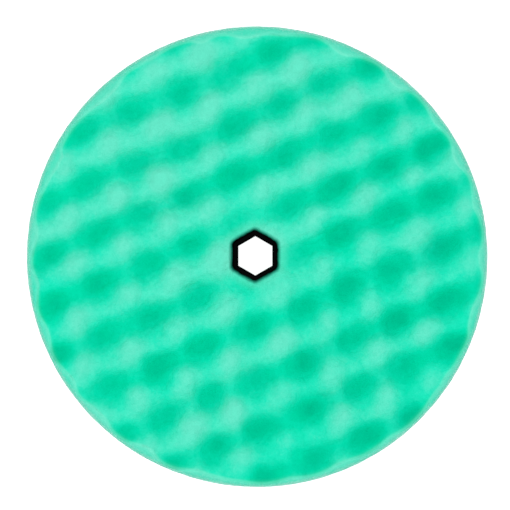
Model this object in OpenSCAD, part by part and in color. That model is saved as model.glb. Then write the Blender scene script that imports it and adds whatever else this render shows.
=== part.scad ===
// Double-sided foam polishing pad with a hexagonal drive hub.
// Origin: centre of the hub. +Z: spindle axis, out of the front foam face.
// The drive hexagon has its corners towards +Y and -Y. Millimetres.

/* [Foam] */
// Outside diameter of the pad
pad_d = 203; // [180:1:230]
// Thickness over both foam faces
pad_t = 48; // [42:0.5:60]
// Distance that the rim of each foam face stands in from the widest place
rim_inset = 6; // [3:0.5:8]
// Height of the widest place above the seam between the foam discs
belly_z = 8; // [2:0.5:10]
// Across flats of the hexagonal hole through each foam disc
foam_hole_af = 21; // [20.8:0.1:26]

/* [Backing plate] */
// Diameter of the flexible plate between the foam discs
plate_d = 150; // [136:1:164]
// Thickness of the plate's flat middle
plate_t = 3; // [2.4:0.1:4]
// Thickness of the plate at its edge
plate_edge_t = 1; // [0.6:0.1:2]
// Diameter at which the plate starts to thin
plate_flat_d = 120; // [90:1:130]
// Across flats of the plate's hexagonal centre hole
plate_hole_af = 30.2; // [30.1:0.1:31]

/* [Adhesive] */
// Thickness of each cured adhesive film
film_t = 0.3; // [0.1:0.05:0.5]
// Distance that the rim film stays inside the foam's edge
film_inset = 2; // [0:0.1:3]

/* [Hub] */
// Across flats of the drive socket
socket_af = 15.2; // [14:0.1:16]
// Across flats of the outside of the hub's hexagonal tube
tube_af = 20.4; // [19.4:0.1:20.6]
// Length of the hub over both ends
hub_len = 32; // [28:0.5:38]
// Diameter of each clamping flange
flange_d = 66; // [62:1:76]
// Thickness of each clamping flange
flange_t = 3.2; // [2.8:0.1:4]
// Across flats of the spigot that seats in the plate
spigot_af = 30; // [28:0.1:30]
// Diameter of the ball detent groove at mid-length
detent_d = 19.4; // [18:0.1:20]

/* [Rivets] */
// Number of rivets through both flanges and the plate
rivet_count = 6; // [4, 6, 8]
// Diameter of the circle that the rivets stand on
rivet_pcd = 48; // [46:0.5:50]
// Diameter of each rivet's shank
rivet_d = 4; // [3:0.1:4.2]
// Diameter of each rivet's domed head
rivet_head_d = 7.6; // [6.4:0.1:7.8]

/* [Hidden] */
$fn = 96;
// Overlap that joins solids, and the distance that cutting bodies run past a surface
eps = 0.01;
over = 1;
// Gap between the foam or its film and the hub
side_gap = 0.3;

FOAM_GREEN = [0.16, 0.87, 0.70];
FOAM_GREEN_REAR = [0.13, 0.80, 0.64];
HUB_BLACK = [0.04, 0.04, 0.045];
PLATE_BLACK = [0.11, 0.11, 0.12];
ADHESIVE_AMBER = [0.86, 0.80, 0.60];
RIVET_STEEL = [0.72, 0.73, 0.75];

pad_r = pad_d / 2;
foam_top = pad_t / 2;
// The side of each foam disc is an arc, widest at the belly
side_r = ((foam_top - belly_z) ^ 2 + rim_inset ^ 2) / (2 * rim_inset);
seam_r = pad_r - side_r + sqrt(side_r ^ 2 - belly_z ^ 2);
plate_r = plate_d / 2;
plate_flat_r = plate_flat_d / 2;
plate_face = plate_t / 2;
plate_edge = plate_edge_t / 2;
// Gap between the plate's edge and the foam
edge_clear = 0.4;

// The hub half, from the pad's mid-plane up
tube_top = hub_len / 2;
flange_r = flange_d / 2;
flange_top = plate_face + flange_t;
flange_chamfer = 0.8;
boss_base_r = 18;
boss_r = 12;
boss_top = flange_top + 3.8;
end_chamfer = 0.6;
detent_flat = 1;

// Ribs between the boss and the flange, halfway between the rivets
rib_t = 2;
rib_high = flange_top + 2.3;
rib_inner_r = 16;
rib_outer_r = 31;
rib_bury = 2;

// Lugs that key the two hub halves to each other
lug_d = 3;
lug_h = 1.2;
lug_circle_r = 12.4;
lug_clear = 0.1;
lug_angles = [30, 150, 270];

// Rivets
rivet_clear = 0.1;
seat_d = rivet_head_d + 0.6;
seat_depth = 1.4;
seat_z = flange_top - seat_depth;
head_rim_h = 0.5;
head_dome_h = 0.8;
roll_r = 1.1;
roll_circle_r = 2.1;
rivet_bore_r = 1.2;
rivet_bore_h = 3;

function hex_diameter(af) = af / cos(30);
// Radius of the sphere whose cap has this base radius and height
function cap_radius(base_r, h) = (base_r * base_r + h * h) / (2 * h);

// Hexagonal bar standing on z = 0, with corners towards +Y and -Y
module hex_bar(af, h) {
    rotate([0, 0, 30])
        cylinder(d = hex_diameter(af), h = h, $fn = 6);
}

// Hexagonal bar that changes from one size to another
module hex_taper(af_low, af_high, h) {
    rotate([0, 0, 30])
        cylinder(d1 = hex_diameter(af_low), d2 = hex_diameter(af_high), h = h, $fn = 6);
}

// Turns a front piece over to make the rear one
module turned_over() {
    rotate([180, 0, 0])
        children();
}

module around_rivet_circle() {
    for (i = [0 : rivet_count - 1])
        rotate([0, 0, i * 360 / rivet_count])
            translate([rivet_pcd / 2, 0, 0])
                children();
}

// Half section of a foam disc with its bulging side, before the pocket is cut
module foam_blank_section() {
    square([pad_r - 2 * rim_inset, foam_top]);
    intersection() {
        square([pad_r, foam_top]);
        translate([pad_r - side_r, belly_z])
            circle(r = side_r);
    }
}

// Half section of the space that the plate, films and hub take from a foam disc
module foam_pocket_section() {
    polygon([
        [0, -eps],
        [pad_r + over, -eps],
        [pad_r + over, film_t / 2],
        [plate_r + edge_clear, film_t / 2],
        [plate_r + edge_clear, plate_edge + film_t],
        [plate_r, plate_edge + film_t],
        [plate_flat_r, plate_face + film_t],
        [flange_r + side_gap, plate_face + film_t],
        [flange_r + side_gap, flange_top + side_gap],
        [boss_r + side_gap, boss_top + side_gap],
        [0, boss_top + side_gap]
    ]);
}

module foam_disc() {
    difference() {
        rotate_extrude()
            difference() {
                foam_blank_section();
                foam_pocket_section();
            }
        hex_bar(foam_hole_af, foam_top + over);
    }
}

// Adhesive film between one face of the plate and its foam disc
module bond_film() {
    rotate_extrude()
        polygon([
            [flange_r + side_gap, plate_face],
            [plate_flat_r, plate_face],
            [plate_r, plate_edge],
            [plate_r, plate_edge + film_t],
            [plate_flat_r, plate_face + film_t],
            [flange_r + side_gap, plate_face + film_t]
        ]);
}

module flange() {
    translate([0, 0, plate_face])
        cylinder(r = flange_r, h = flange_t - flange_chamfer);
    translate([0, 0, flange_top - flange_chamfer])
        cylinder(r1 = flange_r, r2 = flange_r - flange_chamfer, h = flange_chamfer);
}

module hex_tube_outside() {
    hex_bar(tube_af, tube_top - 2 * end_chamfer);
    intersection() {
        hex_bar(tube_af, tube_top);
        translate([0, 0, tube_top - 3 * end_chamfer])
            hex_taper(tube_af + 4 * end_chamfer, tube_af - 2 * end_chamfer, 3 * end_chamfer);
    }
}

module ribs() {
    for (i = [0 : rivet_count - 1])
        rotate([0, 0, (i + 0.5) * 360 / rivet_count])
            rotate([90, 0, 0])
                linear_extrude(height = rib_t, center = true)
                    polygon([
                        [boss_r - rib_bury, flange_top - eps],
                        [rib_outer_r, flange_top - eps],
                        [rib_inner_r, rib_high],
                        [boss_r - rib_bury, rib_high]
                    ]);
}

// Drive socket with a lead-in at its mouth and a round groove for the ball detent
module drive_socket() {
    translate([0, 0, -lug_h - over])
        hex_bar(socket_af, tube_top + lug_h + 2 * over);
    translate([0, 0, tube_top - 2 * end_chamfer])
        hex_taper(socket_af - 2 * end_chamfer, socket_af + 4 * end_chamfer, 3 * end_chamfer);
    rotate_extrude()
        polygon([
            [0, -eps],
            [detent_d / 2, -eps],
            [detent_d / 2, detent_flat],
            [socket_af / 2, detent_flat + (detent_d - socket_af) / 2],
            [0, detent_flat + (detent_d - socket_af) / 2]
        ]);
}

module keying_lugs() {
    for (a = lug_angles)
        rotate([0, 0, a])
            translate([lug_circle_r, 0, -lug_h])
                cylinder(d = lug_d, h = lug_h + eps);
}

module keying_sockets() {
    for (a = lug_angles)
        rotate([0, 0, a + 60])
            translate([lug_circle_r, 0, -eps])
                cylinder(d = lug_d + 2 * lug_clear, h = lug_h + lug_clear + eps);
}

// Clearance hole and sunk seat for one rivet
module rivet_seat() {
    translate([0, 0, -eps])
        cylinder(d = rivet_d + 2 * rivet_clear, h = flange_top + over);
    translate([0, 0, seat_z])
        cylinder(d = seat_d, h = seat_depth + over);
}

module hub_half() {
    difference() {
        union() {
            hex_bar(spigot_af, plate_face + eps);
            flange();
            translate([0, 0, flange_top - eps])
                cylinder(r1 = boss_base_r, r2 = boss_r, h = boss_top - flange_top + eps);
            hex_tube_outside();
            ribs();
            keying_lugs();
        }
        drive_socket();
        keying_sockets();
        around_rivet_circle()
            rivet_seat();
    }
}

// Semi-tubular rivet: domed head in the front seat, rolled end in the rear seat
module rivet() {
    dome_r = cap_radius(rivet_head_d / 2, head_dome_h);
    difference() {
        union() {
            translate([0, 0, -seat_z])
                cylinder(d = rivet_d, h = 2 * seat_z + eps);
            translate([0, 0, seat_z])
                cylinder(d = rivet_head_d, h = head_rim_h);
            intersection() {
                translate([0, 0, seat_z + head_rim_h + head_dome_h - dome_r])
                    sphere(r = dome_r);
                translate([0, 0, seat_z + head_rim_h - eps])
                    cylinder(d = rivet_head_d, h = head_dome_h + over);
            }
            rotate_extrude()
                difference() {
                    union() {
                        translate([roll_circle_r, -seat_z])
                            circle(r = roll_r);
                        translate([0, -seat_z - roll_r])
                            square([roll_circle_r, roll_r]);
                    }
                    translate([0, -seat_z])
                        square([rivet_head_d, 2 * roll_r]);
                }
        }
        translate([0, 0, -seat_z - roll_r - over])
            cylinder(r = rivet_bore_r, h = rivet_bore_h + roll_r + over);
    }
}

module front_foam_disc() {
    color(FOAM_GREEN)
        foam_disc();
}

module rear_foam_disc() {
    color(FOAM_GREEN_REAR)
        turned_over()
            foam_disc();
}

module front_bond_film() {
    color(ADHESIVE_AMBER)
        bond_film();
}

module rear_bond_film() {
    color(ADHESIVE_AMBER)
        turned_over()
            bond_film();
}

// Film that joins the two foam discs to each other outside the plate
module rim_bond_film() {
    color(ADHESIVE_AMBER)
        difference() {
            cylinder(r = seam_r - film_inset, h = film_t, center = true);
            cylinder(r = plate_r + edge_clear, h = film_t + over, center = true);
        }
}

// Flexible disc that thins towards its edge
module backing_plate() {
    color(PLATE_BLACK)
        difference() {
            rotate_extrude()
                polygon([
                    [0, -plate_face],
                    [plate_flat_r, -plate_face],
                    [plate_r, -plate_edge],
                    [plate_r, plate_edge],
                    [plate_flat_r, plate_face],
                    [0, plate_face]
                ]);
            translate([0, 0, -plate_t])
                hex_bar(plate_hole_af, 2 * plate_t);
            around_rivet_circle()
                cylinder(d = rivet_d + 2 * rivet_clear, h = 2 * plate_t, center = true);
        }
}

module front_hub_half() {
    color(HUB_BLACK)
        hub_half();
}

module rear_hub_half() {
    color(HUB_BLACK)
        turned_over()
            hub_half();
}

module hub_rivets() {
    color(RIVET_STEEL)
        around_rivet_circle()
            rivet();
}

front_foam_disc();
rear_foam_disc();
front_bond_film();
rear_bond_film();
rim_bond_film();
backing_plate();
front_hub_half();
rear_hub_half();
hub_rivets();
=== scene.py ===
"""Looks of a double-sided foam polishing pad, built around its CAD frame.

Metres, in the frame's own axes: +Z out of the front foam face, origin at the hub's centre.
The two foam discs are replaced by convoluted (waffle-cut) ones. The hub, plate, adhesive
films and rivets stay as the CAD made them and get their materials here.
"""

import collections
import math

import bpy
import numpy as np
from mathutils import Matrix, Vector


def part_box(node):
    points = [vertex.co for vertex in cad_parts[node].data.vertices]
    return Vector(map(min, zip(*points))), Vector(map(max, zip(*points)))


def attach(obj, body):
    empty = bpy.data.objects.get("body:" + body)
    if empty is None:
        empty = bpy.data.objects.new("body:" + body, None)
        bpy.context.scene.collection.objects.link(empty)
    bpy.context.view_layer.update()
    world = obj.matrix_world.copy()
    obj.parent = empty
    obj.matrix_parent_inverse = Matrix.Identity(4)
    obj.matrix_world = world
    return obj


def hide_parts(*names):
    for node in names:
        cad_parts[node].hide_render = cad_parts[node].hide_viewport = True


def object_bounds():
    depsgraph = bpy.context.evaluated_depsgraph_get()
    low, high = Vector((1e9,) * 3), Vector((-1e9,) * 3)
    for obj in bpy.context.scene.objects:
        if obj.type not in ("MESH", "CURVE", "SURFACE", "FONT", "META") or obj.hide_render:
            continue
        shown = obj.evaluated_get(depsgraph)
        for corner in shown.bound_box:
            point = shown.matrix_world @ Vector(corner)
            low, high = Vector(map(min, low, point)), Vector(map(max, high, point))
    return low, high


MM = 0.001

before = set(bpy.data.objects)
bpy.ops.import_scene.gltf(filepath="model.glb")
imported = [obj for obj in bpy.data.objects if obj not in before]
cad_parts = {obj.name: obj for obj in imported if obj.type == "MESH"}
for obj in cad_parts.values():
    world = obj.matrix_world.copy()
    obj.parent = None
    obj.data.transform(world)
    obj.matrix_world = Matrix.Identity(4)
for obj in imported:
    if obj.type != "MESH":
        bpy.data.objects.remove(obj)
cad_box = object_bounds()

# ---------------------------------------------------------------- sizes from the frame

foam_low, foam_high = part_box("front_foam_disc")
rim_film_low, rim_film_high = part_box("rim_bond_film")

PAD_R = foam_high.x
CREST_Z = foam_high.z
SEAM_Z = foam_low.z
PLATE_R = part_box("backing_plate")[1].x
FILM_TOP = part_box("front_bond_film")[1].z
HUB_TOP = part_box("front_hub_half")[1].z
FILM_T = rim_film_high.z - rim_film_low.z

# The pocket in each foam disc, around the hub and the plate
PLATE_FLAT_R = 60 * MM
PLATE_EDGE_TOP = 0.5 * MM + FILM_T
PLATE_GAP = 0.4 * MM
FLANGE_POCKET_R = 33.3 * MM
FLANGE_POCKET_Z = 5 * MM
BOSS_POCKET_R = 12.3 * MM
BOSS_POCKET_Z = 8.8 * MM

# The bulging side of each foam disc. In section it is an arc, widest at the belly, with a
# small round edge at the seam.
RIM_INSET = 6 * MM
BELLY_Z = 8 * MM
SIDE_RISE = CREST_Z - BELLY_Z
SIDE_R = (SIDE_RISE**2 + RIM_INSET**2) / (2 * RIM_INSET)
SEAM_R = 0.6 * MM
SIDE_FOOT_Z = SEAM_Z + SEAM_R

# ---------------------------------------------------------------- foam sizes

RELIEF_DEPTH = 7.5 * MM
HOLE_AF = 20.8 * MM
HOLE_CORNER_R = 1.6 * MM
MOUTH_AF = 19.5 * MM
MOUTH_CORNER_R = 2.4 * MM
LIP_R = 1.9 * MM

# The discs are cut a little off the hub's centre, and so is the mouth of their hole
RIM_OFFSET = (0.8 * MM, -0.37 * MM)
MOUTH_OFFSET = (-0.22 * MM, 0.26 * MM)
MOUTH_OFFSET_TO = 13 * MM
RIM_OFFSET_FROM = 40 * MM

# Level of the deepest pit, where a plain valley is 0 and a full crest is 1
PIT_LEVEL = -0.25

# Around the hub the face is fuller and its valleys are shallower
SWELL_R = 11 * MM
SWELL_WIDTH = 11 * MM
SWELL_LEVEL = 0.9
SWELL_SHARE = 0.33

# Rings of the mesh, and the stretches over which they change from one outline to another
SEGMENTS = 648
WALL_RINGS = 8
LIP_RINGS = 7
FACE_RINGS = 94
SIDE_RINGS = 16
SIDE_CROWDING = 1.4
SEAM_RINGS = 3
HOLE_FADE = 18 * MM
RIM_FADE = 12 * MM
CREASE_GAP = 0.35 * MM
CREASE_STEPS = 14

# Fine bumps of the cut surface: height and wavelength of both layers, and their highest sum
FINE_BUMP = 0.10 * MM
FINE_BUMP_WAVELENGTH = 3.0 * MM
BROAD_BUMP = 0.14 * MM
BROAD_BUMP_WAVELENGTH = 7.5 * MM
BUMP_LIMIT = 0.2 * MM
WALL_ROUGHNESS = 0.5
LIP_ROUGHNESS = 0.6
SIDE_ROUGHNESS = 0.25

# Painted light: a painted highlight pales the lip and the outline, a painted sheen pales the side,
# and painted shade darkens the hole, the lower side and the seam
LIP_HIGHLIGHT_PALENESS = 0.3
LIP_FADE = 4 * MM
EDGE_HIGHLIGHT_PALENESS = 0.5
EDGE_HIGHLIGHT_BRIGHTENING = 0.05
EDGE_FADE = 1.3 * MM
EDGE_SHARE = 0.12
SIDE_SHEEN_PALENESS = 0.15
SIDE_LEVEL = 0.8
SIDE_LEVEL_RINGS = 2
POCKET_LEVEL = 0.3
HOLE_SHADE = 0.9
BELLY_SHADE = 0.26
BELLY_SHADE_FROM = 21 * MM
BELLY_SHADE_TO = 12 * MM
SEAM_SHADE = 0.4


def unit(angle):
    """Unit vector in the XY plane at this angle in degrees."""
    return np.array([math.cos(math.radians(angle)), math.sin(math.radians(angle))])


# The two waves that the convoluting rollers leave. Their crests cross in a slanted lattice.
STRONG_PITCH = 21.37 * MM
STRONG_HEADING = -67.2
STRONG_SHARE = 0.615
STRONG_PHASE = 65
WEAK_PITCH = 21.52 * MM
WEAK_HEADING = 185.8
WEAK_SHARE = 0.31
WEAK_PHASE = 105

# Overtones that shape the crests: turns of the strong and the weak wave, share and phase
OVERTONES = [
    (1, -1, 0.035, 40),
    (2, 1, 0.038, 125),
    (1, 1, 0.045, 120),
    (2, 0, 0.042, 200),
    (0, 2, 0.03, 15),
]

# What keeps the lattice from being regular. Towards the lean's heading the strong wave gets
# stronger and the weak one weaker, and towards the fuller heading the whole face is fuller.
STRONG_DRIFT = 9
WEAK_DRIFT = 11
DRIFT_WAVELENGTH = 70 * MM
STRONG_VARIES = 0.06
WEAK_VARIES = 0.16
FADE_WAVELENGTH = 42 * MM
LEAN_HEADING = 110
LEAN_SHARE = 0.18
FULLER_HEADING = 147
FULLER_SHARE = 0.10
UNEVEN_WAVELENGTH = 8.5 * MM
UNEVEN_SHARE = 0.015


def smooth_field(points, wavelength, seed, waves=40):
    """Smooth random field with about unit spread, as a sum of waves of nearly one length."""
    rng = np.random.default_rng(seed)
    heading = rng.normal(size=(waves, points.shape[-1]))
    heading /= np.linalg.norm(heading, axis=1, keepdims=True)
    number = 2 * np.pi / (wavelength * rng.uniform(0.75, 1.35, waves))
    phase = rng.uniform(0, 2 * np.pi, waves)
    total = np.zeros(points.shape[:-1])
    for k in range(waves):
        total += np.cos(points @ (heading[k] * number[k]) + phase[k])
    return total * math.sqrt(2 / waves)


def relief(xy, turn, seed):
    """Height of the convoluted face, about 0 in a valley and 1 on a full crest."""
    strong_angle = (
        2 * np.pi / STRONG_PITCH * (xy @ unit(STRONG_HEADING + turn))
        + math.radians(STRONG_PHASE)
        + math.radians(STRONG_DRIFT) * smooth_field(xy, DRIFT_WAVELENGTH, seed)
    )
    weak_angle = (
        2 * np.pi / WEAK_PITCH * (xy @ unit(WEAK_HEADING + turn))
        + math.radians(WEAK_PHASE)
        + math.radians(WEAK_DRIFT) * smooth_field(xy, DRIFT_WAVELENGTH, seed + 1)
    )
    lean = LEAN_SHARE * (xy @ unit(LEAN_HEADING + turn)) / PAD_R
    strong_fade = STRONG_VARIES * smooth_field(xy, FADE_WAVELENGTH, seed + 2)
    weak_fade = WEAK_VARIES * smooth_field(xy, FADE_WAVELENGTH, seed + 5)
    strong = STRONG_SHARE * (1 + lean + strong_fade)
    weak = WEAK_SHARE * (1 - lean + weak_fade)
    wave = strong * np.cos(strong_angle) + weak * np.cos(weak_angle)
    for strong_turns, weak_turns, share, phase in OVERTONES:
        angle = strong_turns * strong_angle + weak_turns * weak_angle
        wave += share * np.cos(angle + math.radians(phase))
    level = 0.5 + 0.5 * wave
    level += FULLER_SHARE * (xy @ unit(FULLER_HEADING + turn)) / PAD_R
    level += UNEVEN_SHARE * smooth_field(xy, UNEVEN_WAVELENGTH, seed + 6)
    swell = np.exp(-(((np.hypot(xy[..., 0], xy[..., 1]) - SWELL_R) / SWELL_WIDTH) ** 2))
    return np.clip(level + swell * (SWELL_LEVEL - level) * SWELL_SHARE, PIT_LEVEL, 1)


def rounded_hexagon(theta, across_flats, corner_r):
    """Distance from the axis to a hexagon with round corners, two of them on the Y axis."""
    half = across_flats / 2
    sector = math.pi / 3
    off_flat = np.abs((theta + sector / 2) % sector - sector / 2)
    flat = half / np.cos(off_flat)
    centre = (half - corner_r) / math.cos(sector / 2)
    off_corner = sector / 2 - off_flat
    arc = centre * np.cos(off_corner) + np.sqrt(corner_r**2 - (centre * np.sin(off_corner)) ** 2)
    arc_begins = math.atan2(centre * math.sin(sector / 2), half)
    return np.where(off_flat > arc_begins, arc, flat)


def ease(share):
    """Smooth step from 0 to 1."""
    share = np.clip(share, 0, 1)
    return share * share * (3 - 2 * share)


def side_radius(height):
    """Radius of a foam disc's bulging side at this height."""
    return PAD_R - SIDE_R + np.sqrt(SIDE_R**2 - (height - BELLY_Z) ** 2)


def off_centre(around, radius, over, mouth_share=1.0):
    """Points at this radius around the axis, shifted with the mouth or with the rim."""
    radius = np.broadcast_to(radius, around.shape[:1])[:, None]
    mouth_share = np.broadcast_to(mouth_share, around.shape[:1])[:, None]
    near_mouth = ease((RIM_OFFSET_FROM - radius) / (RIM_OFFSET_FROM - MOUTH_OFFSET_TO))
    near_rim = ease((radius - RIM_OFFSET_FROM) / (PAD_R - RIM_INSET - RIM_OFFSET_FROM))
    shift = mouth_share * near_mouth * np.array(MOUTH_OFFSET) + near_rim * np.array(RIM_OFFSET)
    return around * radius + shift * (1, over)


# One ring of a foam disc. height and the colour fields may differ from angle to angle.
# relief drives the colour on the face, with painted shade in the pits and a painted sheen on the
# crests.
# The field after relief pales the colour with a painted highlight and sheen, and shade darkens it
# with painted shade.
# roughness scales the bumps. normal is in the plane of radius and height.
Ring = collections.namedtuple("Ring", "xy height relief paleness shade roughness normal")


class FoamRings:
    """Rings of one foam disc, from the foot of the hole's wall over the face and back."""

    def __init__(self, theta, turn, seed, over):
        self.around = np.stack([np.cos(theta), np.sin(theta)], axis=1)
        self.turn = turn
        self.seed = seed
        self.over = over
        self.hole = rounded_hexagon(theta, HOLE_AF, HOLE_CORNER_R)
        self.mouth = rounded_hexagon(theta, MOUTH_AF, MOUTH_CORNER_R)
        self.crease = self.find_crease()
        self.rings = []
        self.add_wall()
        self.add_lip()
        self.add_face()
        self.add_side()
        self.add_seam_edge()
        self.add_pocket()

    def face(self, radius):
        """Height and relief of the face at this radius."""
        level = relief(off_centre(self.around, radius, self.over), self.turn, self.seed)
        return CREST_Z - RELIEF_DEPTH * (1 - level), level

    def find_crease(self):
        """Radius of the crease where the side cuts off the face."""
        crease = np.full(len(self.around), PAD_R - RIM_INSET)
        for _ in range(CREASE_STEPS):
            crease = side_radius(self.face(crease)[0])
        return crease

    def add(self, radius, mouth_share=1.0, **fields):
        """Adds a ring at this radius, shifted off the hub's centre."""
        xy = off_centre(self.around, radius, self.over, mouth_share)
        self.rings.append(Ring(xy, **fields))

    def add_wall(self):
        """The hole's wall, from the pocket up to the lip."""
        top = self.face(self.mouth + LIP_R)[0] - LIP_R
        for k in range(WALL_RINGS):
            share = k / WALL_RINGS
            height = BOSS_POCKET_Z + (top - BOSS_POCKET_Z) * share
            bulge = ease((height - HUB_TOP) / (top - HUB_TOP))
            # Painted shade darkens the whole wall
            self.add(
                self.hole + (self.mouth - self.hole) * bulge,
                mouth_share=bulge,
                height=height,
                relief=0,
                paleness=0,
                shade=HOLE_SHADE,
                roughness=WALL_ROUGHNESS * share,
                normal=(-1, 0),
            )

    def add_lip(self):
        """The rounded lip between the hole and the face."""
        for k in range(LIP_RINGS):
            a = math.pi / 2 * k / LIP_RINGS
            radius = self.mouth + LIP_R * (1 - math.cos(a))
            z, level = self.face(radius)
            # Painted shade darkens the lip towards the hole, and a painted highlight pales its top
            self.add(
                radius,
                height=z - LIP_R * (1 - math.sin(a)),
                relief=level * math.sin(a),
                paleness=LIP_HIGHLIGHT_PALENESS * math.sin(a),
                shade=HOLE_SHADE * math.cos(a),
                roughness=LIP_ROUGHNESS,
                normal=(-math.cos(a), math.sin(a)),
            )

    def add_face(self):
        """The convoluted face. Its rings go from the mouth's outline over to the crease's."""
        mouth_wave = self.mouth - self.mouth.mean()
        crease_wave = self.crease - self.crease.mean()
        inner = self.mouth.mean() + LIP_R
        outer = self.crease.mean() - CREASE_GAP
        for k in range(FACE_RINGS + 1):
            base = inner + (outer - inner) * k / FACE_RINGS
            hole_share = max(0.0, 1 - (base - inner) / HOLE_FADE) ** 2
            rim_share = max(0.0, 1 - (outer - base) / RIM_FADE) ** 2
            radius = base + mouth_wave * hole_share + crease_wave * rim_share
            z, level = self.face(radius)
            lip_share = ease(1 - (base - inner) / LIP_FADE)
            edge_share = np.clip(1 - (outer - base) / EDGE_FADE, 0, 1) ** 2
            # A painted highlight pales the face near the mouth and along the crease, where painted
            # light also brightens it
            self.add(
                radius,
                height=z,
                relief=level,
                paleness=LIP_HIGHLIGHT_PALENESS * lip_share + EDGE_HIGHLIGHT_PALENESS * edge_share,
                shade=-EDGE_HIGHLIGHT_BRIGHTENING * edge_share,
                roughness=1,
                normal=(0, 1),
            )

    def add_side(self):
        """The bulging side, from the crease down to the seam."""
        crease_z, crease_level = self.face(self.crease)
        for k in range(SIDE_RINGS + 1):
            share = (k / SIDE_RINGS) ** SIDE_CROWDING
            height = crease_z + (SIDE_FOOT_Z - crease_z) * share
            tilt = (height - BELLY_Z) / SIDE_R
            edge_share = ease(1 - share / EDGE_SHARE)
            down = ease((BELLY_SHADE_FROM - height) / (BELLY_SHADE_FROM - BELLY_SHADE_TO))
            # A painted highlight at the crease, a painted sheen down the side, and painted shade
            # that grows down to the belly
            self.add(
                side_radius(height),
                height=height,
                relief=crease_level + (SIDE_LEVEL - crease_level) * min(1, k / SIDE_LEVEL_RINGS),
                paleness=SIDE_SHEEN_PALENESS + (EDGE_HIGHLIGHT_PALENESS - SIDE_SHEEN_PALENESS) * edge_share,
                shade=BELLY_SHADE * down - EDGE_HIGHLIGHT_BRIGHTENING * edge_share,
                roughness=SIDE_ROUGHNESS,
                normal=(np.sqrt(1 - tilt**2), tilt),
            )

    def add_seam_edge(self):
        """The rounded edge where the two discs meet."""
        for k in range(1, SEAM_RINGS + 1):
            a = math.pi / 2 * k / SEAM_RINGS
            # Painted shade deepens into the seam
            self.add(
                side_radius(SIDE_FOOT_Z) - SEAM_R * (1 - math.cos(a)),
                height=SEAM_Z + SEAM_R * (1 - math.sin(a)),
                relief=SIDE_LEVEL,
                paleness=SIDE_SHEEN_PALENESS,
                shade=BELLY_SHADE + (SEAM_SHADE - BELLY_SHADE) * math.sin(a),
                roughness=0,
                normal=(1, 0),
            )

    def add_pocket(self):
        """The pocket around the hub and the plate. It is centred on the hub, so it isn't shifted."""
        section = [
            ((PAD_R + PLATE_R) / 2, SEAM_Z),
            (PLATE_R + PLATE_GAP, SEAM_Z),
            (PLATE_R + PLATE_GAP, PLATE_EDGE_TOP),
            (PLATE_R, PLATE_EDGE_TOP),
            (PLATE_FLAT_R, FILM_TOP),
            (FLANGE_POCKET_R, FILM_TOP),
            (FLANGE_POCKET_R, FLANGE_POCKET_Z),
            (BOSS_POCKET_R, BOSS_POCKET_Z),
        ]
        for radius, height in section:
            xy = self.around * radius
            # The pocket is darkened with painted shade, as dark as the seam
            self.rings.append(Ring(xy, height, POCKET_LEVEL, 0, SEAM_SHADE, 0, (0, -1)))


def table(values):
    """One row per ring, with a number for each segment."""
    return np.stack([np.broadcast_to(value, (SEGMENTS,)) for value in values])


def disc_points(rings, theta, seed):
    """Points of a disc with its face up, one row per ring, with the fine bumps of the foam."""
    height = table(ring.height for ring in rings)
    points = np.concatenate([np.stack([ring.xy for ring in rings]), height[:, :, None]], axis=2)
    outward = table(ring.normal[0] for ring in rings)
    upward = table(ring.normal[1] for ring in rings)
    normals = np.stack([outward * np.cos(theta), outward * np.sin(theta), upward], axis=2)
    bumps = FINE_BUMP * smooth_field(points, FINE_BUMP_WAVELENGTH, seed + 3)
    bumps += BROAD_BUMP * smooth_field(points, BROAD_BUMP_WAVELENGTH, seed + 4)
    bumps = np.minimum(bumps, BUMP_LIMIT) * table(ring.roughness for ring in rings)
    points += normals * bumps[:, :, None]
    points[:, :, 2] = np.minimum(points[:, :, 2], CREST_Z)
    return points


def foam_disc(name, turn, seed, turned_over):
    """One convoluted foam disc as a closed mesh. Its second material is the hole's."""
    theta = np.arange(SEGMENTS) * 2 * np.pi / SEGMENTS
    over = -1 if turned_over else 1
    rings = FoamRings(theta, turn, seed, over).rings
    points = disc_points(rings, theta, seed)
    points[:, :, 1:] *= over

    row, segment = np.meshgrid(np.arange(len(rings)), np.arange(SEGMENTS), indexing="ij")
    next_row = (row + 1) % len(rings)
    next_segment = (segment + 1) % SEGMENTS
    corners = [
        row * SEGMENTS + segment,
        next_row * SEGMENTS + segment,
        next_row * SEGMENTS + next_segment,
        row * SEGMENTS + next_segment,
    ]
    faces = np.stack(corners, axis=-1).reshape(-1, 4)
    in_hole = row.reshape(-1) < WALL_RINGS + LIP_RINGS

    mesh = bpy.data.meshes.new(name)
    mesh.from_pydata(points.reshape(-1, 3).tolist(), [], faces.tolist())
    mesh.polygons.foreach_set("use_smooth", np.ones(len(faces), bool))
    mesh.polygons.foreach_set("material_index", in_hole.astype(np.int32))
    for field in ("relief", "paleness", "shade"):
        attribute = mesh.attributes.new(field, "FLOAT", "POINT")
        values = table(getattr(ring, field) for ring in rings)
        attribute.data.foreach_set("value", values.reshape(-1).astype(np.float32))
    mesh.update()
    disc = bpy.data.objects.new(name, mesh)
    bpy.context.scene.collection.objects.link(disc)
    return disc


# ---------------------------------------------------------------- materials


# The Mix node's colour sockets, which have the same names as those of its other kinds
MIX_A = 6
MIX_B = 7
MIX_RESULT = 2


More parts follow.
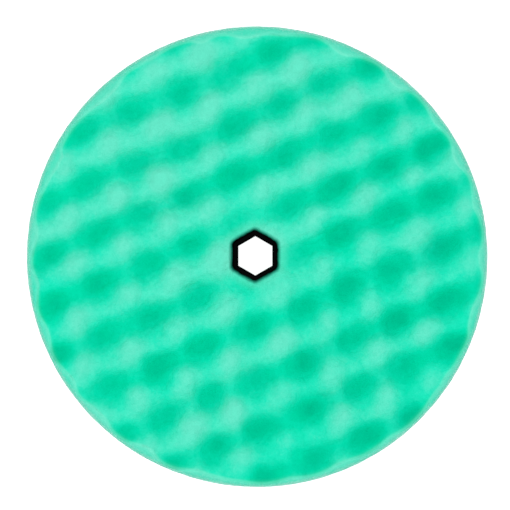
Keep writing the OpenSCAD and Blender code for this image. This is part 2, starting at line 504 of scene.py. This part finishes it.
class Shader:
    """A new node material with short ways to add and join its nodes."""

    def __init__(self, name):
        self.material = bpy.data.materials.new(name)
        self.material.use_nodes = True
        self.tree = self.material.node_tree
        self.bsdf = self.tree.nodes["Principled BSDF"]
        self.place = self.add("ShaderNodeTexCoord").outputs["Object"]

    def add(self, kind, **settings):
        """Adds a node. A setting is an input's value where the node has that input."""
        node = self.tree.nodes.new(kind)
        for key, value in settings.items():
            if key in node.inputs:
                node.inputs[key].default_value = value
            else:
                setattr(node, key, value)
        return node

    def join(self, source, target):
        """Links an output to an input."""
        self.tree.links.new(source, target)

    def attribute(self, name):
        """A float that the mesh holds at each of its points."""
        return self.add("ShaderNodeAttribute", attribute_name=name).outputs["Fac"]

    def noise(self, size, detail=2.0, roughness=0.5, variant=0.0):
        """Noise between 0 and 1 with features of about this size. Each variant is another one."""
        settings = {"W": variant, "Scale": 1 / size, "Detail": detail, "Roughness": roughness}
        node = self.add("ShaderNodeTexNoise", noise_dimensions="4D", **settings)
        self.join(self.place, node.inputs["Vector"])
        return node.outputs["Fac"]

    def cells(self, size):
        """Distance within a random cell pattern of about this cell size."""
        node = self.add("ShaderNodeTexVoronoi", Scale=1 / size)
        self.join(self.place, node.inputs["Vector"])
        return node.outputs["Distance"]

    def sum(self, *terms):
        """Adds up (value, weight, offset) terms, each as weight * (value + offset)."""
        total = None
        for value, weight, offset in terms:
            moved = self.add("ShaderNodeMath", operation="ADD")
            self.join(value, moved.inputs[0])
            moved.inputs[1].default_value = offset
            scaled = self.add("ShaderNodeMath", operation="MULTIPLY_ADD")
            self.join(moved.outputs[0], scaled.inputs[0])
            scaled.inputs[1].default_value = weight
            if total is None:
                scaled.inputs[2].default_value = 0
            else:
                self.join(total, scaled.inputs[2])
            total = scaled.outputs[0]
        return total

    def ramp(self, value, stops):
        """Colour ramp through (position, colour) stops, eased where there are only two."""
        node = self.add("ShaderNodeValToRGB")
        node.color_ramp.interpolation = "EASE" if len(stops) == 2 else "LINEAR"
        elements = node.color_ramp.elements
        while len(elements) < len(stops):
            elements.new(1)
        for element, (position, colour) in zip(elements, stops):
            element.position = position
            element.color = (*colour, 1)
        self.join(value, node.inputs["Fac"])
        return node.outputs["Color"]

    def mix(self, share, colour, other):
        """Mixes a colour output towards a fixed colour."""
        node = self.add("ShaderNodeMix", data_type="RGBA")
        self.join(share, node.inputs["Factor"])
        self.join(colour, node.inputs[MIX_A])
        node.inputs[MIX_B].default_value = (*other, 1)
        return node.outputs[MIX_RESULT]

    def blend(self, colour, other):
        """Adds two colour outputs."""
        node = self.add("ShaderNodeVectorMath", operation="ADD")
        self.join(colour, node.inputs[0])
        self.join(other, node.inputs[1])
        return node.outputs["Vector"]

    def scale(self, colour, factor):
        """Multiplies a colour output by a value output."""
        node = self.add("ShaderNodeVectorMath", operation="SCALE")
        self.join(colour, node.inputs[0])
        self.join(factor, node.inputs["Scale"])
        return node.outputs["Vector"]

    def bump(self, height, depth, strength):
        """Bump on the whole material, this deep where the height output goes from 0 to 1."""
        node = self.add("ShaderNodeBump", Strength=strength, Distance=depth)
        self.join(height, node.inputs["Height"])
        self.join(node.outputs["Normal"], self.bsdf.inputs["Normal"])

    def set(self, **sockets):
        """Sets the shader's own sockets, with _ for each space in their names."""
        for key, value in sockets.items():
            self.bsdf.inputs[key.replace("_", " ")].default_value = value


# Colour by height, from the bottom of a deep pit to the top of a full crest: painted shade turns the
# pits a darker, deeper green, and a painted sheen pales the crests. The pale part also carries the
# foam's blotchy tone, so each has its own ramp and the two are added.
FOAM_CREST_SHEEN = [
    (0.24, (0, 0, 0)),
    (0.44, (0.0013, 0, 0.026)),
    (0.60, (0.012, 0, 0.053)),
    (0.80, (0.055, 0, 0.076)),
    (1.0, (0.098, 0, 0.1)),
]
FOAM_GREENS = [
    (0.06, (0, 0.355, 0.192)),
    (0.24, (0, 0.452, 0.252)),
    (0.34, (0, 0.507, 0.279)),
    (0.44, (0, 0.545, 0.298)),
    (0.60, (0, 0.598, 0.325)),
    (0.68, (0, 0.613, 0.337)),
    (0.80, (0, 0.618, 0.346)),
    (1.0, (0, 0.613, 0.34)),
]
# Colour of the painted highlight and sheen
FOAM_SHEEN_PALE = (0.15, 0.61, 0.45)

# Fuzz of the cut cells, which shows where the foam is seen edge on, but not down the dark hole
FUZZ_SHEEN = 0.75

# Turns a level from the deepest pit to a full crest into 0 to 1
LEVEL_SCALE = 1 / (1 - PIT_LEVEL)


def foam_material(name, sheen):
    """Open-cell polyurethane foam: painted shade makes the valleys a deeper green, and a painted
    sheen pales the crests.
    """
    shader = Shader(name)
    drift = shader.noise(27 * MM, detail=1, variant=3.0)
    cloud = shader.noise(16 * MM, detail=5, roughness=0.72)
    mottle = shader.noise(3.6 * MM, detail=2)
    grain = shader.noise(1.6 * MM, detail=3, roughness=0.65)
    pores = shader.cells(0.75 * MM)
    level = shader.attribute("relief")
    # Painted sheen on the crests, by height, with the foam's blotchy tone on top
    crest_sheen_and_tone = shader.sum(
        (level, LEVEL_SCALE, -PIT_LEVEL),
        (drift, 0.66, -0.5),
        (cloud, 0.54, -0.5),
        (mottle, 0.1, -0.5),
        (grain, 0.23, -0.5),
        (pores, -0.04, -0.4),
    )
    # Painted shade: the green darkens towards the pits
    depth = shader.sum((level, LEVEL_SCALE, -PIT_LEVEL), (drift, 0.2, -0.5))
    face = shader.blend(shader.ramp(crest_sheen_and_tone, FOAM_CREST_SHEEN), shader.ramp(depth, FOAM_GREENS))
    # Painted highlight on the lip and the crease, and painted sheen on the side
    colour = shader.mix(shader.attribute("paleness"), face, FOAM_SHEEN_PALE)
    # Painted shade down the hole, the side and the seam, a painted highlight at the crease, and the
    # foam's mottled tone
    brightness = shader.sum(
        (shader.attribute("shade"), -1, -1),
        (mottle, 0.16, -0.5),
        (grain, 0.15, -0.5),
        (pores, -0.05, -0.4),
    )
    shader.join(shader.scale(colour, brightness), shader.bsdf.inputs["Base Color"])
    shader.bump(shader.sum((pores, -1, 0), (grain, 1.2, 0)), 0.25 * MM, 0.7)
    shader.set(
        Roughness=1.0,
        Specular_IOR_Level=0.0,
        Sheen_Weight=sheen,
        Sheen_Roughness=0.2,
        Sheen_Tint=(1, 1, 1, 1),
    )
    return shader.material


def hub_material():
    """Black moulded plastic with a fine spark-eroded grain and faint smudges."""
    shader = Shader("hub_black_plastic")
    grain = shader.noise(0.5 * MM, detail=4, roughness=0.7)
    smudge = shader.noise(6 * MM, detail=3)
    colour = shader.ramp(smudge, [(0.3, (0.0006, 0.0006, 0.0006)), (0.75, (0.001, 0.001, 0.001))])
    shader.join(colour, shader.bsdf.inputs["Base Color"])
    gloss = shader.sum((smudge, 0.25, 0.0), (grain, 0.15, 2.0))
    shader.join(gloss, shader.bsdf.inputs["Roughness"])
    shader.bump(grain, 0.04 * MM, 0.5)
    shader.set(Specular_IOR_Level=0.01)
    return shader.material


def plate_material():
    """Dark grey flexible plastic with faint flow marks."""
    shader = Shader("plate_grey_plastic")
    grain = shader.noise(0.8 * MM, detail=4, roughness=0.65)
    flow = shader.noise(14 * MM, detail=4)
    colour = shader.ramp(flow, [(0.3, (0.012, 0.012, 0.014)), (0.75, (0.022, 0.022, 0.025))])
    shader.join(colour, shader.bsdf.inputs["Base Color"])
    gloss = shader.sum((flow, 0.25, 0.0), (grain, 0.2, 2.0))
    shader.join(gloss, shader.bsdf.inputs["Roughness"])
    shader.bump(grain, 0.05 * MM, 0.5)
    shader.set(Specular_IOR_Level=0.4)
    return shader.material


def adhesive_material():
    """Cured contact adhesive: amber, uneven, half glossy."""
    shader = Shader("adhesive_amber")
    stipple = shader.noise(1.2 * MM, detail=3, roughness=0.6)
    streak = shader.noise(8 * MM, detail=2)
    colour = shader.ramp(streak, [(0.3, (0.56, 0.44, 0.20)), (0.75, (0.72, 0.62, 0.36))])
    shader.join(colour, shader.bsdf.inputs["Base Color"])
    gloss = shader.sum((stipple, 0.35, 0.4), (streak, 0.1, 0.0))
    shader.join(gloss, shader.bsdf.inputs["Roughness"])
    shader.bump(stipple, 0.06 * MM, 0.6)
    shader.set(Specular_IOR_Level=0.45)
    return shader.material


def rivet_material():
    """Zinc-plated steel with fine scuffs."""
    shader = Shader("rivet_zinc_steel")
    scuff = shader.noise(0.6 * MM, detail=5, roughness=0.7)
    cloud = shader.noise(3 * MM, detail=2)
    colour = shader.ramp(cloud, [(0.3, (0.50, 0.51, 0.53)), (0.75, (0.66, 0.67, 0.68))])
    shader.join(colour, shader.bsdf.inputs["Base Color"])
    gloss = shader.sum((scuff, 0.35, 0.2), (cloud, 0.1, 0.0))
    shader.join(gloss, shader.bsdf.inputs["Roughness"])
    shader.bump(scuff, 0.01 * MM, 0.5)
    shader.set(Metallic=1.0)
    return shader.material


def paint(piece, material):
    """Gives a piece this one material on all its faces."""
    piece.data.materials.clear()
    piece.data.materials.append(material)


# ---------------------------------------------------------------- pieces


def make_foam():
    """Both foam discs. Each lies its own way round and has its own irregularities."""
    discs = [
        ("waffle_foam_front", "front_foam_disc", "front_foam", 0, 21, False),
        ("waffle_foam_rear", "rear_foam_disc", "rear_foam", 137, 57, True),
    ]
    for name, node, slot, turn, seed, turned_over in discs:
        disc = foam_disc(name, turn, seed, turned_over)
        disc.data.materials.append(foam_material(slot, FUZZ_SHEEN))
        disc.data.materials.append(foam_material(slot + "_hole", 0))
        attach(disc, "root")
        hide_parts(node)


def finish_cad_nodes():
    """Gives every CAD node that stays its material."""
    hub = hub_material()
    plate = plate_material()
    adhesive = adhesive_material()
    rivet = rivet_material()
    looks = {
        "front_hub_half": hub,
        "rear_hub_half": hub,
        "backing_plate": plate,
        "front_bond_film": adhesive,
        "rear_bond_film": adhesive,
        "rim_bond_film": adhesive,
        "hub_rivets": rivet,
    }
    for node, material in looks.items():
        paint(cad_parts[node], material)


# ---------------------------------------------------------------- stage, light, camera


# Half the width of the floor, and what keeps it out of the plane of the crests on it
FLOOR_HALF = 8.0
FLOOR_GAP = 0.05 * MM

# Width of the camera's view in the plane of the crests, and its place beside the axis
VIEW_WIDTH = 221.9 * MM
VIEW_ASIDE = (-0.15 * MM, 0.37 * MM)
LENS_MM = 200
SENSOR_MM = 36


def make_floor():
    """Pale light-table floor, which glows a little so that it stays white under the pad."""
    z = cad_box[0].z - FLOOR_GAP
    mesh = bpy.data.meshes.new("floor")
    corners = [(x * FLOOR_HALF, y * FLOOR_HALF, z) for x, y in ((-1, -1), (1, -1), (1, 1), (-1, 1))]
    mesh.from_pydata(corners, [], [(0, 1, 2, 3)])
    floor = bpy.data.objects.new("floor", mesh)
    bpy.context.scene.collection.objects.link(floor)
    shader = Shader("floor_white")
    shader.set(
        Base_Color=(0.5, 0.5, 0.5, 1),
        Roughness=1.0,
        Specular_IOR_Level=0.0,
        Emission_Color=(1, 1, 1, 1),
        Emission_Strength=0.95,
    )
    paint(floor, shader.material)


def make_world(strength):
    """White surroundings that light the pad evenly."""
    world = bpy.data.worlds.new("studio")
    world.use_nodes = True
    background = world.node_tree.nodes["Background"]
    background.inputs["Color"].default_value = (1, 1, 1, 1)
    background.inputs["Strength"].default_value = strength
    bpy.context.scene.world = world


def softbox(name, place, width, power):
    """Square area light at this place, aimed at the pad."""
    light = bpy.data.lights.new(name, "AREA")
    light.shape = "SQUARE"
    light.size = width
    light.energy = power
    box = bpy.data.objects.new(name, light)
    bpy.context.scene.collection.objects.link(box)
    box.location = place
    aim = -box.location
    box.rotation_euler = aim.to_track_quat("-Z", "Y").to_euler()


def make_camera():
    """Long lens straight above the front face, with +Y up in the picture."""
    data = bpy.data.cameras.new("camera")
    data.lens = LENS_MM
    data.sensor_width = SENSOR_MM
    data.clip_start = 0.05
    data.clip_end = 20
    camera = bpy.data.objects.new("camera", data)
    bpy.context.scene.collection.objects.link(camera)
    camera.location = (*VIEW_ASIDE, CREST_Z + VIEW_WIDTH * LENS_MM / SENSOR_MM)
    bpy.context.scene.camera = camera


def main():
    bpy.context.scene.view_settings.view_transform = "Standard"
    make_camera()
    make_world(strength=0.8)
    softbox("key", place=(-0.09, -0.08, 1.7), width=1.4, power=20)
    make_floor()
    make_foam()
    finish_cad_nodes()


main()
